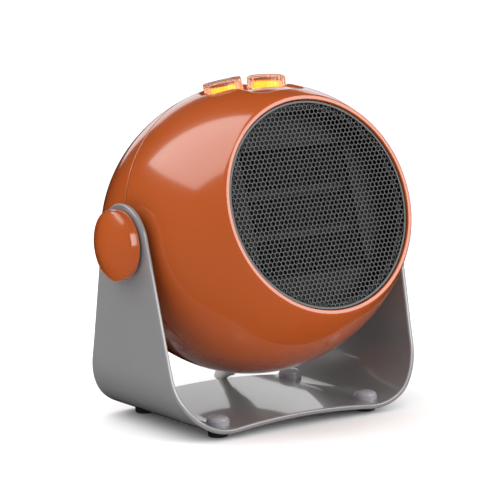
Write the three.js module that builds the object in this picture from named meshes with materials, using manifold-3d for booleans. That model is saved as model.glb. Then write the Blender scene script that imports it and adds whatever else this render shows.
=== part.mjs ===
// Ball-shaped ceramic fan heater on a tilting steel stand.
// Millimetres, +Z up. The front of the heater faces -Y, the tilt axis runs along X.
// The origin is on the floor under the middle of the heater (its mains lead and plug not counted).
import * as THREE from 'three';
import { mergeVertices } from 'three/addons/utils/BufferGeometryUtils.js';
import Module from 'manifold-3d';

const wasm = await Module();
wasm.setup();

// ---------- driving dimensions ----------
const BALL_R = 100;          // largest radius of the head
const BALL_Z = 129.1;        // tilt axis above the floor
const BALL_Y = -6.535;         // tilt axis in Y: centres the heater's own box on the origin
const TILT = 18.3;           // degrees the air outlet looks up at rest
const FRONT_A = 137.26;      // front half: length of its super-elliptic profile
const FRONT_P = 1.79;        // front half: exponent of that profile
const REAR_B = 117.2;        // rear half: length of its elliptic profile
const SEAM_X = -2.4;         // plane where the front and rear shells meet, along the head's axis
const RIM_X = 82.8;          // front end of the shell
const OUTLET_R = 71.3;       // radius of the round air outlet
const WALL = 2.5;            // shell wall
const GAP = 0.3;             // clearance between neighbouring pieces
const VENT_R = 46;           // radius of the round air intake at the back

const PLATE_T = 3.5;         // stand strap thickness
const ARM_X = 105.7;         // outer face of the arm at the tilt axis
const ARM_LEAN = 2.35;       // degrees each arm leans outward
const BEND_R = 42.14;        // outer bend radius of the stand
const BEND_CX = 60.1, BEND_CZ = 46.1;
const ARCH_H = 3.9, ARCH_TOP = 10.9, ARCH_HALF = 62;
const BASE_HALF_Y = 60;      // half depth of the base
const ARM_TOP_R = 27.4;      // radius of the arm's round top
const FOOT_X = 62, FOOT_Y = 45, FOOT_R = 6.8, FOOT_H = 3.6;
const CAP_R = 8, CAP_TOP = 14.3;

const KNOB_X = 107.2;        // inner face of the side clamp knob
const KNOB_R = 24, KNOB_SKIRT = 6.8, KNOB_H = 13.5;
const STUD_R = 3;

const PANEL_DEG = 7.2;       // control recess, degrees forward of the head's own top
const PANEL_R = 36, PANEL_Y = -11.66, PANEL_FLOOR = 93.65, PANEL_CROWN = 138.2;
const DIAL_X = 17.39, DIAL_LEAN = 7.23, DIAL_R = 13.3, DIAL_H = 10;

const CORD_D = 6.4;
const COIL = { x: 151.5, y: 91, rIn: 28.6, rOut: 41.4, h: 19.2 };

// ---------- helpers ----------
const V = (x, y, z) => new THREE.Vector3(x, y, z);
const rad = THREE.MathUtils.degToRad;

function solid(geo) {
  const g = geo.clone();
  g.deleteAttribute('normal'); g.deleteAttribute('uv');
  const m = mergeVertices(g, 1e-4);
  let idx = Array.from(m.index.array);
  const p = m.attributes.position.array;
  const good = [];
  let vol = 0;
  for (let i = 0; i < idx.length; i += 3) {
    const [a, b, c] = [idx[i], idx[i + 1], idx[i + 2]];
    if (a === b || b === c || a === c) continue;
    good.push(a, b, c);
    const A = [p[3 * a], p[3 * a + 1], p[3 * a + 2]], B = [p[3 * b], p[3 * b + 1], p[3 * b + 2]], C = [p[3 * c], p[3 * c + 1], p[3 * c + 2]];
    vol += A[0] * (B[1] * C[2] - B[2] * C[1]) - A[1] * (B[0] * C[2] - B[2] * C[0]) + A[2] * (B[0] * C[1] - B[1] * C[0]);
  }
  if (vol < 0) for (let i = 0; i < good.length; i += 3) { const t = good[i + 1]; good[i + 1] = good[i + 2]; good[i + 2] = t; }
  return new wasm.Manifold(new wasm.Mesh({ numProp: 3, vertProperties: new Float32Array(p), triVerts: new Uint32Array(good) }));
}
function geometry(man) {
  const m = man.getMesh();
  const g = new THREE.BufferGeometry();
  g.setAttribute('position', new THREE.BufferAttribute(new Float32Array(m.vertProperties), 3));
  g.setIndex(new THREE.BufferAttribute(new Uint32Array(m.triVerts), 1));
  return g;
}
const cut = (a, ...b) => b.reduce((m, t) => m.subtract(t), a);
const join = (a, ...b) => b.reduce((m, t) => m.add(t), a);

function box(w, d, h, x = 0, y = 0, z = 0) { return solid(new THREE.BoxGeometry(w, d, h).translate(x, y, z)); }
function tubeX(r, x0, x1, y = 0, z = 0, n = 24) {
  return solid(new THREE.CylinderGeometry(r, r, x1 - x0, n).rotateZ(Math.PI / 2).translate((x0 + x1) / 2, y, z));
}
function tubeY(r, y0, y1, x = 0, z = 0, n = 24) { return solid(new THREE.CylinderGeometry(r, r, y1 - y0, n).translate(x, (y0 + y1) / 2, z)); }
function tubeZ(r, z0, z1, x = 0, y = 0, n = 24) {
  return solid(new THREE.CylinderGeometry(r, r, z1 - z0, n).rotateX(Math.PI / 2).translate(x, y, (z0 + z1) / 2));
}
// closed profile of [radius, along-axis] pairs, revolved about Y
function latheY(profile, n = 48) { return solid(new THREE.LatheGeometry(profile.map(([r, y]) => new THREE.Vector2(r, y)), n)); }
function latheZ(profile, n = 32) {
  return solid(new THREE.LatheGeometry(profile.map(([r, z]) => new THREE.Vector2(r, z)), n).rotateX(Math.PI / 2));
}
function latheX(profile, n = 40) {
  return solid(new THREE.LatheGeometry(profile.map(([r, x]) => new THREE.Vector2(r, x)), n).rotateZ(-Math.PI / 2));
}
const loop = (p) => [...p, p[0]];
function tube(points, r, sides, steps) {
  const s = new THREE.Shape();
  for (let i = 0; i < sides; i++) {
    const a = (2 * Math.PI * i) / sides;
    if (i === 0) s.moveTo(r * Math.cos(a), r * Math.sin(a)); else s.lineTo(r * Math.cos(a), r * Math.sin(a));
  }
  const path = new THREE.CatmullRomCurve3(points, false, 'centripetal');
  return solid(new THREE.ExtrudeGeometry(s, { steps, bevelEnabled: false, extrudePath: path }));
}

// ---------- materials ----------
const mat = (color, roughness, metalness = 0, extra = {}) => ({ color, roughness, metalness, ...extra });
const ORANGE = mat(0xb5541c, 0.16), GREY = mat(0x9a9a9c, 0.3, 0.2), BLACK = mat(0x0b0b0c, 0.45), RUBBER = mat(0x101010, 0.8);
const CAPS = mat(0xb9b6bd, 0.3), STEEL = mat(0xb8bcc0, 0.3, 0.9), ALU = mat(0xc8cacc, 0.35, 0.9), CERAMIC = mat(0xe8e2d4, 0.6);
const CLEAR = mat(0xf08a60, 0.05, 0, { transparent: true, opacity: 0.5 }), GLOW = mat(0xffd21e, 0.4), PLASTIC = mat(0xd8d2c4, 0.5), BRASS = mat(0xc9a64a, 0.3, 0.9);
const CORE = mat(0x8c1d0c, 0.3);

const root = new THREE.Group();
const heater = new THREE.Group();       // everything measured from the tilt axis in Y
heater.position.set(0, BALL_Y, 0);
root.add(heater);
const head = new THREE.Group();         // head frame: -Y is the air outlet, origin on the tilt axis
head.position.set(0, 0, BALL_Z);
head.rotation.x = -rad(TILT);
heater.add(head);

function put(parent, name, man, m) {
  const mesh = new THREE.Mesh(geometry(man), new THREE.MeshStandardMaterial(m));
  mesh.name = name;
  parent.add(mesh);
  return mesh;
}

// ---------- stand: one bent strap with an arched base and two tapered arms ----------
{
  const rMid = BEND_R - PLATE_T / 2;
  const archR = (ARCH_HALF * ARCH_HALF) / (2 * ARCH_H);
  const archCZ = ARCH_TOP - archR;
  const lean = rad(ARM_LEAN);
  const mid = [];                      // [x, z, normal x, normal z] of the strap's middle line, right half
  const thEnd = Math.atan2(BEND_CX, BEND_CZ - archCZ);
  for (let i = 0; i <= 4; i++) { const a = (thEnd * i) / 4; const r = archR - PLATE_T / 2; mid.push([r * Math.sin(a), archCZ + r * Math.cos(a), -Math.sin(a), -Math.cos(a)]); }
  const a0 = Math.atan2(-(BEND_CZ - archCZ), -BEND_CX), a1 = -lean;
  for (let i = 1; i <= 10; i++) { const a = a0 + ((a1 - a0) * i) / 10; mid.push([BEND_CX + rMid * Math.cos(a), BEND_CZ + rMid * Math.sin(a), Math.cos(a), Math.sin(a)]); }
  const last = mid[mid.length - 1];
  const L = (BALL_Z + ARM_TOP_R + 2 - last[1]) / Math.cos(lean);
  mid.push([last[0] + Math.sin(lean) * L, last[1] + Math.cos(lean) * L, last[2], last[3]]);
  const full = [...mid.slice(1).reverse().map(([x, z, nx, nz]) => [-x, z, -nx, nz]), ...mid];
  const h = PLATE_T / 2;
  const outer = full.map(([x, z, nx, nz]) => [x + nx * h, z + nz * h]);
  const inner = full.map(([x, z, nx, nz]) => [x - nx * h, z - nz * h]).reverse();
  const shape = new THREE.Shape([...outer, ...inner].map(([x, z]) => new THREE.Vector2(x, z)));
  const strap = solid(new THREE.ExtrudeGeometry(shape, { depth: 140, bevelEnabled: false }).rotateX(Math.PI / 2).translate(0, 70, 0));
  // side outline: half depth against height, then the round top
  const side = [[BASE_HALF_Y, -5], [BASE_HALF_Y + 0.8, 6], [BASE_HALF_Y - 0.2, 13.1], [56.2, 22], [52.0, 32.7], [47.8, 47], [43.9, 62.4]];
  const tang = rad(13.5);
  for (let i = 0; i <= 10; i++) { const a = tang + ((Math.PI / 2 - tang) * i) / 10; side.push([ARM_TOP_R * Math.cos(a), BALL_Z + ARM_TOP_R * Math.sin(a)]); }
  const pts = [...side, ...side.slice(0, -1).reverse().map(([y, z]) => [-y, z])];
  const sideShape = new THREE.Shape(pts.map(([y, z]) => new THREE.Vector2(y, z)));
  const blank = solid(new THREE.ExtrudeGeometry(sideShape, { depth: 260, bevelEnabled: false }).translate(0, 0, -130)
    .applyMatrix4(new THREE.Matrix4().makeBasis(V(0, 1, 0), V(0, 0, 1), V(1, 0, 0))));
  let bracket = strap.intersect(blank);
  bracket = cut(bracket, tubeX(STUD_R + 0.4, -130, 130, 0, BALL_Z, 20));
  for (const x of [-FOOT_X, FOOT_X]) for (const y of [-FOOT_Y, FOOT_Y]) bracket = cut(bracket, tubeZ(2.6, -2, 16, x, y, 16));
  put(heater, 'stand_bracket', bracket, GREY);
  const feet = [['front_left', -1, -1], ['front_right', 1, -1], ['rear_left', -1, 1], ['rear_right', 1, 1]];
  for (const [where, sx, sy] of feet) {
    const foot = latheZ([[0, 0], [5.9, 0], [6.5, 0.5], [FOOT_R, 1.4], [FOOT_R, FOOT_H], [2.2, FOOT_H], [2.2, 10.2], [0, 10.2]], 16);
    put(heater, 'rubber_foot_' + where, foot.translate([sx * FOOT_X, sy * FOOT_Y, 0]), RUBBER);
    const dome = [];
    for (let i = 0; i <= 3; i++) { const a = (Math.PI / 2) * (i / 3); dome.push([7.4 * Math.cos(a), 11.5 + (CAP_TOP - 11.5) * Math.sin(a)]); }
    dome[dome.length - 1][0] = 0;
    let cap = latheZ([[0, 10.5], [2.6, 10.5], [2.6, 6], [CAP_R, 6], [CAP_R, 11], ...dome], 16).translate([sx * FOOT_X, sy * FOOT_Y, 0]);
    cap = cap.intersect(tubeY(BEND_R - PLATE_T - GAP, -60, 60, sx * BEND_CX, BEND_CZ, 96));
    put(heater, 'foot_cap_' + where, cap, CAPS);
  }
}

// ---------- side clamps: stud, inner plate, friction washer and domed knob on each side ----------
for (const [side, sx] of [['left', -1], ['right', 1]]) {
  const flip = (m) => (sx < 0 ? m.mirror([1, 0, 0]) : m);
  const at = (m) => flip(m).translate([0, 0, BALL_Z]);
  // domed knob, hollow, with a hub that screws on the stud
  const out = [[KNOB_R - 0.8, 0], [KNOB_R, 0.8], [KNOB_R - 0.5, KNOB_SKIRT - 0.6]];
  const capR = KNOB_R - 1.3, capH = KNOB_H - KNOB_SKIRT, capS = (capR * capR + capH * capH) / (2 * capH), capA = Math.asin(capR / capS);
  for (let i = 0; i <= 5; i++) { const a = capA * (1 - i / 5); out.push([i === 5 ? 0 : capS * Math.sin(a), KNOB_SKIRT + capS * Math.cos(a) - (capS - capH)]); }
  const inn = [[0, 9.6], [STUD_R + 0.25, 9.6], [STUD_R + 0.25, 0.6], [7.5, 0.6], [7.5, 10.2], [13.5, 9.2], [18.8, 7.0], [20.8, 5], [21.2, 0]];
  put(heater, side + '_clamp_knob', at(latheX([...inn, ...out].map(([r, x]) => [r, x + KNOB_X]), 28)), ORANGE);
  // stud with a flange inside the head
  put(heater, side + '_clamp_stud', at(latheX([[0, 82.5], [8, 82.5], [8, 86.4], [STUD_R, 86.4], [STUD_R, 116.3], [0, 116.3]], 20)), STEEL);
  // plate inside the shell that spreads the clamp's pull
  put(heater, side + '_pivot_plate', at(latheX(loop([[STUD_R + 0.4, 86.8], [15, 86.8], [15, 95.2], [STUD_R + 0.4, 95.2]]), 24)), BLACK);
  put(heater, side + '_friction_washer', at(latheX(loop([[STUD_R + 0.4, 100.35], [11, 100.35], [11, 101.35], [STUD_R + 0.4, 101.35]]), 24)), RUBBER);
}

// ---------- head shells ----------
const outerR = (x) => (x >= 0 ? BALL_R * (1 - (x / FRONT_A) ** FRONT_P) ** (1 / FRONT_P) : BALL_R * Math.sqrt(Math.max(0, 1 - (x / REAR_B) ** 2)));
function offsetPoint(x, d) {           // point on the inside of the wall, measured square to it
  const e = 0.01, s = (outerR(x + e) - outerR(x - e)) / (2 * e), n = Math.hypot(1, s);
  return [outerR(x) - d / n, x + (d * s) / n];
}
const Y = (p) => p.map(([r, x]) => [r, -x]);

// cord gland axis, measured in the stand's frame from the tilt axis
const GLAND_0 = V(11.2, 26.3, 36.8 - BALL_Z), GLAND_1 = V(13, 50, 18.5 - BALL_Z);
const glandDir = GLAND_1.clone().sub(GLAND_0).normalize();
function alongGland(profile, n = 20) {   // profile revolved about the gland axis, in the un-tilted frame centred on the tilt axis
  const g = new THREE.LatheGeometry(profile.map(([r, s]) => new THREE.Vector2(r, s)), n);
  const q = new THREE.Quaternion().setFromUnitVectors(V(0, 1, 0), glandDir);
  return g.applyQuaternion(q).translate(GLAND_0.x, GLAND_0.y, GLAND_0.z);
}
const panelFrame = new THREE.Matrix4().makeRotationX(rad(PANEL_DEG));
const inPanel = (man) => solid(geometry(man).applyMatrix4(panelFrame));

{
  // front shell
  const o = [], i = [];
  const NF = 9;
  for (let k = 0; k <= NF; k++) { const x = SEAM_X + ((RIM_X - SEAM_X) * k) / NF; o.push([outerR(x), x]); }
  const rimR = outerR(RIM_X);
  o.push([rimR - 1.3, RIM_X + 0.8], [OUTLET_R + 0.5, RIM_X + 0.6], [OUTLET_R, RIM_X]);
  o.push([OUTLET_R, 79.8]);
  { const q = offsetPoint(80.2, WALL); o.push([q[0], Math.min(q[1], 79.2)]); }
  for (let k = NF - 1; k >= 0; k--) { const x = SEAM_X + ((RIM_X - SEAM_X) * k) / NF; const [r, xx] = offsetPoint(x, WALL); if (xx < 76) i.push([r, k === 0 ? SEAM_X : xx]); }
  let front = latheY(loop(Y([...o, ...i])), 44);
  // rear shell, open at the intake
  const ro = [], ri = [];
  const aEnd = Math.acos(VENT_R / BALL_R), a0 = Math.asin((-SEAM_X + GAP) / REAR_B), NR = 8;
  for (let k = 0; k <= NR; k++) { const a = a0 + ((aEnd - a0) * k) / NR; ro.push([BALL_R * Math.cos(a), -REAR_B * Math.sin(a)]); }
  for (let k = NR; k >= 0; k--) { const a = a0 + ((aEnd - a0) * k) / NR; const x = -REAR_B * Math.sin(a); const [r, xx] = offsetPoint(x, WALL); ri.push([k === NR ? VENT_R : r, k === 0 ? SEAM_X - GAP : xx]); }
  let rear = latheY(loop(Y([...ro, ...ri])), 44);
  const panelCut = inPanel(tubeZ(PANEL_R, 60, 130, 0, PANEL_Y, 32));
  const studCut = tubeX(STUD_R + 0.4, -120, 120, 0, 0, 20);
  front = cut(front, panelCut, studCut);
  rear = cut(rear, panelCut, studCut);
  const tiltBack = new THREE.Matrix4().makeRotationX(rad(TILT));
  const glandCut = solid(alongGland([[0, -16], [9.4, -16], [9.4, 34], [0, 34]]).applyMatrix4(tiltBack));
  rear = cut(rear, glandCut);
  // three screw posts join the shells
  const posts = [90, 215, 325];
  for (const [n, deg] of posts.entries()) {
    const a = rad(deg), px = 84 * Math.cos(a), pz = 84 * Math.sin(a), ux = Math.cos(a), uz = Math.sin(a);
    if (n === 0) { continue; }
    const xo = -REAR_B * Math.sqrt(1 - 0.84 ** 2);
    const post = tubeY(5.2, -SEAM_X + GAP + 2.5, -xo + 1.5, px, pz, 20).intersect(latheY(Y([[0, SEAM_X], ...ro, [0, ro[NR][1]], [0, SEAM_X]]), 44));
    rear = join(rear, post);
    rear = cut(rear, tubeY(3.9, 22, 80, px, pz, 20), tubeY(2.0, 0, 40, px, pz, 16));
    let boss = tubeY(5.2, -14, -SEAM_X, px, pz, 20);
    const web = solid(new THREE.BoxGeometry(14, 14 + SEAM_X, 4).translate(91, -7 - SEAM_X / 2, 0).applyMatrix4(new THREE.Matrix4().makeRotationY(-a)));
    boss = join(boss, web).intersect(latheY(Y([[0, 30], [0, SEAM_X], ...o.slice(0, 5), [0, o[4][1]]].slice(1)), 44));
    front = join(front, boss);
    front = cut(front, tubeY(2.0, -11, 4, px, pz, 16));
    put(head, 'shell_screw_' + n, latheY([[0, -8], [1.7, -8], [1.7, 22.4], [3.5, 22.4], [3.5, 24.6], [2.6, 25.2], [0, 25.2]], 16).translate([px, 0, pz]), STEEL);
  }
  put(head, 'front_shell', front, ORANGE);
  put(head, 'rear_shell', rear, ORANGE);

  // intake grille at the back, slotted
  const g = [];
  const aG = Math.acos((VENT_R - GAP) / BALL_R);
  for (let k = 0; k <= 3; k++) { const a = aG + ((Math.PI / 2 - aG) * k) / 3; g.push([k === 3 ? 0 : BALL_R * Math.cos(a), -REAR_B * Math.sin(a)]); }
  const gi = [];
  for (let k = 3; k >= 0; k--) { const a = aG + ((Math.PI / 2 - aG) * k) / 3; gi.push([k === 3 ? 0 : k === 0 ? VENT_R - GAP : BALL_R * Math.cos(a), -REAR_B * Math.sin(a) + 2.6]); }
  let vent = latheY(Y([...g.reverse(), ...gi.reverse()]), 28);
  for (let k = -3; k <= 3; k++) {
    const z = k * 11, w = 2 * Math.sqrt(40 * 40 - z * z);
    vent = cut(vent, box(w, 40, 6, 0, 110, z));
  }
  put(head, 'rear_intake_grille', vent, BLACK);

  // round outlet grille: hexagonal cells in a disc
  let grille = latheY([[0, -82], [OUTLET_R - GAP, -82], [OUTLET_R - GAP, -80.0], [0, -80.0]], 44);
  const pitch = 25, hexes = [];
  for (let q = -5; q <= 5; q++) for (let r = -5; r <= 5; r++) {
    const x = pitch * (q + r / 2), z = pitch * r * Math.sqrt(3) / 2;
    if (Math.hypot(x, z) + 12 > OUTLET_R - 3) continue;
    hexes.push(solid(new THREE.CylinderGeometry(12.2, 12.2, 10, 6).translate(x, -81, z)));
  }
  for (const h of hexes) grille = grille.subtract(h);
  put(head, 'front_grille', grille, BLACK);
  put(head, 'grille_clamp_ring', latheY(loop(Y([[66, 79.3], [72.6, 79.3], [72.6, 76.8], [66, 76.8]])), 32), BLACK);

  // black baffle that closes the space round the heater element
  const rb = offsetPoint(62, WALL)[0] - 1.6;
  let baffle = latheY([[0, -62.6], [rb, -62.6], [rb, -60.6], [0, -60.6]], 44);
  baffle = cut(baffle, box(86, 20, 86, 0, -61, 0));
  put(head, 'front_baffle', baffle, BLACK);

  // duct from the fan to the outlet, with the element inside
  let duct = cut(box(92, 43.8, 92, 0, -38.4, 0), box(87, 50, 87, 0, -44, 0), tubeY(42.5, -40, 0, 0, 0, 40));
  put(head, 'heater_duct', duct, BLACK);
  const zs = [-28.8, 0, 28.8];
  for (const [n, z] of zs.entries()) {
    let fin = box(80, 12, 24.2, 0, -50, z);
    for (let k = -4; k <= 4; k++) fin = cut(fin, box(6.4, 20, 21.4, k * 8.6, -50, z));
    put(head, 'heater_fins_' + (n + 1), fin, ALU);
  }
  for (const [n, z] of [-14.4, 14.4].entries()) put(head, 'ceramic_bar_' + (n + 1), box(80, 12, 4.0, 0, -50, z), CERAMIC);
  for (const [s, sx] of [['left', -1], ['right', 1]]) put(head, 'element_holder_' + s, box(2.6, 15, 85, sx * 41.7, -50, 0), PLASTIC);
  put(head, 'thermal_cutout', join(tubeZ(8, 46.4, 51, 0, -40, 20), box(6, 18, 1.2, 0, -40, 51.4)), PLASTIC);

  // fan: shroud, motor on a three-armed bracket
  put(head, 'fan_shroud', latheY(loop([[42.5, -16.1], [46, -16.1], [46, 14], [42.5, 14]]), 32), BLACK);
  put(head, 'fan_motor', latheY([[0, 30], [2.0, 30], [2.0, 16.4], [6, 16.4], [6, 18.4], [21, 18.4], [21, 46], [7, 46], [7, 50], [0, 50]], 24), STEEL);
  let bracket = latheY(loop([[40.5, 14.3], [46, 14.3], [46, 17], [40.5, 17]]), 28);
  bracket = join(bracket, latheY(loop([[21.3, 19], [24, 19], [24, 34], [21.3, 34]]), 24));
  for (let k = 0; k < 3; k++) {
    const a = (2 * Math.PI * k) / 3 + Math.PI / 2;
    bracket = join(bracket, solid(new THREE.BoxGeometry(20, 8, 6).translate(32.5, 18.3 + 0.2, 0).applyMatrix4(new THREE.Matrix4().makeRotationY(a))));
  }
  put(head, 'motor_bracket', bracket, BLACK);
  put(head, 'motor_shaft', latheY([[0, -6], [1.6, -6], [1.6, 29.6], [0, 29.6]], 16), STEEL);
  let imp = latheY([[0, -11], [9, -11], [13, -8.5], [14, -5], [14, 9], [12, 9], [12, -4], [5, -4], [5, 4], [2.0, 4], [2.0, -6.4], [0, -6.4]], 18);
  for (let k = 0; k < 7; k++) {
    const blade = new THREE.BoxGeometry(28, 18, 1.6).applyMatrix4(new THREE.Matrix4().makeRotationX(rad(38))).translate(26.8, -1, 0)
      .applyMatrix4(new THREE.Matrix4().makeRotationY((2 * Math.PI * k) / 7));
    imp = join(imp, solid(blade));
  }
  put(head, 'fan_impeller', imp, BLACK);

  put(head, 'terminal_block', cut(box(30, 12, 12, 0, 40, -66), tubeZ(2.2, -63, -50, -9, 40, 12), tubeZ(2.2, -63, -50, 0, 40, 12), tubeZ(2.2, -63, -50, 9, 40, 12)), PLASTIC);

  // control recess with its floor, flush with the shells
  const body = latheY(Y([[0, -REAR_B], ...Array.from({ length: 9 }, (_, k) => { const a = Math.PI / 2 - (Math.PI / 2) * ((k + 1) / 9); return [BALL_R * Math.cos(a), -REAR_B * Math.sin(a)]; }),
    ...Array.from({ length: NF }, (_, k) => { const x = (RIM_X * (k + 1)) / NF; return [outerR(x), x]; }), [0, RIM_X]]), 44);
  let panel = inPanel(tubeZ(PANEL_R - GAP, 86, 112, 0, PANEL_Y, 32)).intersect(body);
  const floorTop = tubeY(PANEL_CROWN, -70, 60, 0, PANEL_FLOOR - PANEL_CROWN, 96), floorLow = tubeY(PANEL_CROWN - 3, -70, 60, 0, PANEL_FLOOR - PANEL_CROWN, 96);
  const well = tubeZ(PANEL_R - 2.6, 60, 130, 0, PANEL_Y, 32);
  panel = cut(panel, inPanel(well.subtract(floorTop)), inPanel(well.intersect(floorLow)));
  const panelG = new THREE.Group();
  panelG.rotation.x = rad(PANEL_DEG);
  head.add(panelG);
  const dials = [];
  for (const [name, sx] of [['selector', -1], ['thermostat', 1]]) {
    const g = new THREE.Group();
    g.position.set(sx * DIAL_X, PANEL_Y, Math.sqrt(PANEL_CROWN ** 2 - DIAL_X ** 2) - PANEL_CROWN + PANEL_FLOOR);
    g.rotation.y = sx * rad(DIAL_LEAN);
    panelG.add(g);
    const m = new THREE.Matrix4().makeTranslation(g.position.x, g.position.y, g.position.z).multiply(new THREE.Matrix4().makeRotationY(sx * rad(DIAL_LEAN)));
    const hole = inPanel(solid(geometry(tubeZ(3.4, -8, 6, 0, 0, 16)).applyMatrix4(m)));
    panel = cut(panel, hole);
    put(g, name + '_dial', latheZ([[0, DIAL_H - 1.7], [DIAL_R - 2.2, DIAL_H - 1.7], [DIAL_R - 1.7, 0.7], [DIAL_R, 0.7], [DIAL_R, 1.6], [DIAL_R - 0.5, DIAL_H - 0.9], [DIAL_R - 1.3, DIAL_H], [0, DIAL_H]], 24), CLEAR);
    put(g, name + '_dial_core', latheZ([[0, 6.0], [3.15, 6.0], [3.15, 0.9], [5.2, 0.9], [5.2, 6.2], [10.0, 6.2], [10.0, 8.1], [0, 8.1]], 20), CORE);
    put(g, name + '_light_ring', latheZ(loop([[6.0, 0.5], [9.6, 0.5], [9.6, 5.6], [6.0, 5.6]]), 20), GLOW);
    put(g, name + '_spindle', latheZ([[0, -14], [2.9, -14], [2.9, 5.6], [0, 5.6]], 16), STEEL);
    put(g, name + '_body', cut(box(20, 18, 14, 0, 0, -11.5), tubeZ(3.2, -16, 0, 0, 0, 16)), PLASTIC);
  }
  put(head, 'control_panel', panel, ORANGE);
}

// ---------- mains lead ----------
put(heater, 'cord_gland', solid(alongGland(loop([[3.75, 1], [8.9, 1], [8.9, 10], [8.2, 15], [7, 19.5], [5.3, 24], [4.6, 30], [3.75, 30]]), 24)).translate([0, 0, BALL_Z]), RUBBER);
{
  const r = CORD_D / 2;
  const g1 = V(13, 50, 18.5), d = glandDir;
  put(heater, 'cord_upper', tube([g1.clone().addScaledVector(d, -22), g1.clone().addScaledVector(d, -8), g1.clone().addScaledVector(d, 3), V(16, 62, 14.2)], r, 10, 6), RUBBER);
  put(heater, 'cord_lead', tube([V(16.35, 62.75, 14.0), V(24, 78, 9.2), V(34, 95, 4.4), V(46, 109.5, 3.3), V(63, 121, 3.3), V(84, 128.5, 3.3), V(108, 131, 3.3), V(130.3, 130.3, 3.3)], r, 10, 14), RUBBER);
  put(heater, 'cord_coil', latheZ(loop([[COIL.rIn, 1.6], [COIL.rIn + 1.6, 0.05], [COIL.rOut - 1.6, 0.05], [COIL.rOut, 1.6], [COIL.rOut, COIL.h - 1.6], [COIL.rOut - 1.6, COIL.h], [COIL.rIn + 1.6, COIL.h], [COIL.rIn, COIL.h - 1.6]]), 28).translate([COIL.x, COIL.y, 0]), RUBBER);
  put(heater, 'cord_tail', tube([V(113.3, 113.6, 15.9), V(113.6, 127, 14.4), V(118, 140, 11.6), V(128, 150, 9.8), V(142, 155.5, 10.6), V(152, 156.5, 12.4), V(159.7, 156.5, 12.9)], r, 10, 6), RUBBER);
  const s = new THREE.Shape();
  s.absellipse(0, 0, 17.5, 12.6, 0, 2 * Math.PI, false, 0);
  const bodyGeo = new THREE.ExtrudeGeometry(s, { depth: 30, steps: 1, bevelEnabled: true, bevelThickness: 3.4, bevelSize: 3.4, bevelOffset: -3.4, bevelSegments: 2, curveSegments: 10 })
    .applyMatrix4(new THREE.Matrix4().makeBasis(V(0, 1, 0), V(0, 0, 1), V(1, 0, 0)));
  put(heater, 'plug_body', solid(bodyGeo).translate([164, 156.5, 12.9]), BLACK);
  for (const [n, sy] of [['left', -1], ['right', 1]]) put(heater, 'plug_pin_' + n, tubeX(2.4, 197.8, 216.5, 156.5 + sy * 9.5, 12.9, 16), BRASS);
}

export default root;
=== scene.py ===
import math

import bmesh
import bpy
import numpy as np
from mathutils import Matrix, Vector


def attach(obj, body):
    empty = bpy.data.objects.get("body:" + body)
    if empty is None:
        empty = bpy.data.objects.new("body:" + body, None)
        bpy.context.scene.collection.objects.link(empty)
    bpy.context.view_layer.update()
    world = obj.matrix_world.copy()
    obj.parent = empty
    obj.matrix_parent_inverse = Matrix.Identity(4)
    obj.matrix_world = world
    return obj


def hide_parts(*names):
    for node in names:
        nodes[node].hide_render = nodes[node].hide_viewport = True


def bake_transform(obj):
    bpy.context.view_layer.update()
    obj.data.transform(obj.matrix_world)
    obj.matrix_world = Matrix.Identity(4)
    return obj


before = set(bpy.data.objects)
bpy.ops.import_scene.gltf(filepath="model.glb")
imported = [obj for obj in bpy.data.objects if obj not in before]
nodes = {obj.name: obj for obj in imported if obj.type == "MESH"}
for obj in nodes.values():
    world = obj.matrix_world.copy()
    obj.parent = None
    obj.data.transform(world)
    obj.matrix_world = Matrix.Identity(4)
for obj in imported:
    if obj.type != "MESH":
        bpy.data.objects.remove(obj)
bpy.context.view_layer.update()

MM = 0.001
BALL_R, BALL_Y, BALL_Z, TILT = 100.0, -6.535, 129.1, 18.3
FRONT_A, FRONT_P, REAR_B = 137.26, 1.79, 117.2
SEAM_X, RIM_X, OUTLET_R = -2.4, 82.8, 71.3
VENT_R = 46.0
PANEL_DEG, PANEL_Y, PANEL_FLOOR, PANEL_CROWN = 7.2, -11.66, 93.65, 138.2
DIAL_X, DIAL_LEAN, DIAL_R, DIAL_H = 17.39, 7.23, 13.3, 10.0
KNOB_X, KNOB_R, KNOB_SKIRT, KNOB_H = 107.2, 24.0, 6.8, 13.5
CORD_D = 6.4
rad = math.radians

HEAD = Matrix.Translation((0, BALL_Y, BALL_Z)) @ Matrix.Rotation(-rad(TILT), 4, "X")
PANEL = HEAD @ Matrix.Rotation(rad(PANEL_DEG), 4, "X")
STAND = Matrix.Translation((0, BALL_Y, 0))


# ---------------------------------------------------------------- camera
AZ, EL, ROLL, DIST, FOCAL = -34.85, 9.54, -0.77, 1963.57, 2855.42
sa, ca, se, ce = math.sin(rad(AZ)), math.cos(rad(AZ)), math.sin(rad(EL)), math.cos(rad(EL))
back = Vector((sa * ce, -ca * ce, se))
right = Vector((ca, sa, 0))
up = back.cross(right)
cr, sr = math.cos(rad(ROLL)), math.sin(rad(ROLL))
cam_r = right * cr + up * sr
cam_u = up * cr - right * sr
cam_data = bpy.data.cameras.new("camera")
cam_data.sensor_width = 36.0
cam_data.lens = FOCAL * 36.0 / 500.0
cam_data.shift_x = -0.00554
cam_data.shift_y = -0.04482
cam_data.clip_start, cam_data.clip_end = 0.05, 50.0
camera = bpy.data.objects.new("camera", cam_data)
bpy.context.scene.collection.objects.link(camera)
rot = Matrix((cam_r, cam_u, back)).transposed().to_4x4()
centre = Vector((0, BALL_Y * MM, BALL_Z * MM))
camera.matrix_world = Matrix.Translation(centre + back * (DIST * MM)) @ rot
bpy.context.scene.camera = camera


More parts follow.
